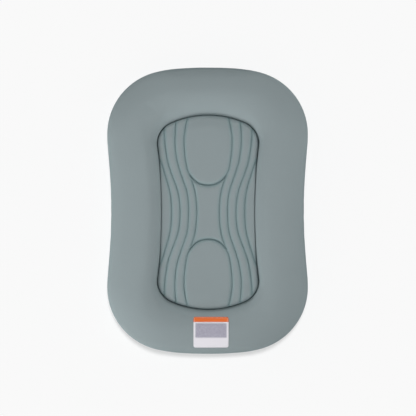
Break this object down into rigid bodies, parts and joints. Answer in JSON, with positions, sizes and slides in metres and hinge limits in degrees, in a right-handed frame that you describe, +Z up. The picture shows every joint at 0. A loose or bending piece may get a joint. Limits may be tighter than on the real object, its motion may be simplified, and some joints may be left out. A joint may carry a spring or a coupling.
{
  "type": "infant lounger",
  "caption": "Low padded infant lounger: a broad crowned rim round a well that holds a channelled lift-out pad, with a zip across the underside.",
  "frame": {"origin": "on the floor under the middle of the lounger", "axes": "+Z up, +Y towards the head end, +X to the right as seen from above with the head end away"},
  "size_m": [0.5186, 0.737, 0.0908],
  "materials": {
    "fabric": "matte",
    "foam": "matte",
    "label_white": "satin",
    "label_orange": "satin",
    "zip_plastic": "satin",
    "zip_metal": "satin"
  },
  "bodies": {
    "lounger": {"rim_cover": "fabric", "rim_foam": "foam", "base_foam": "foam", "well_floor": "fabric", "base_panel_head": "fabric", "base_panel_foot": "fabric", "zip_tape_head": "fabric", "zip_tape_foot": "fabric", "zip_teeth_head": "zip_plastic", "zip_teeth_foot": "zip_plastic", "zip_top_stop_head": "zip_metal", "zip_top_stop_foot": "zip_metal", "zip_bottom_stop": "zip_metal", "label": "label_white", "label_band": "label_orange"},
    "pad": {"pad_cover": "fabric", "pad_foam": "foam", "pad_backing": "fabric"},
    "slider": {"zip_slider": "zip_metal"},
    "pull": {"zip_pull": "zip_metal"}
  },
  "joints": [
    {"name": "pad_lift", "type": "slide", "parent": "lounger", "child": "pad", "axis": [0, 0, 1], "range_m": [0, 0.12]},
    {"name": "zip_slide", "type": "slide", "parent": "lounger", "child": "slider", "axis": [-1, 0, 0], "range_m": [0, 0.277]},
    {"name": "pull_turn", "type": "hinge", "parent": "slider", "child": "pull", "pos_m": [0.1387, -0.30064, 0.00225], "axis": [0, -1, 0], "range_deg": [0, 150]}
  ]
}
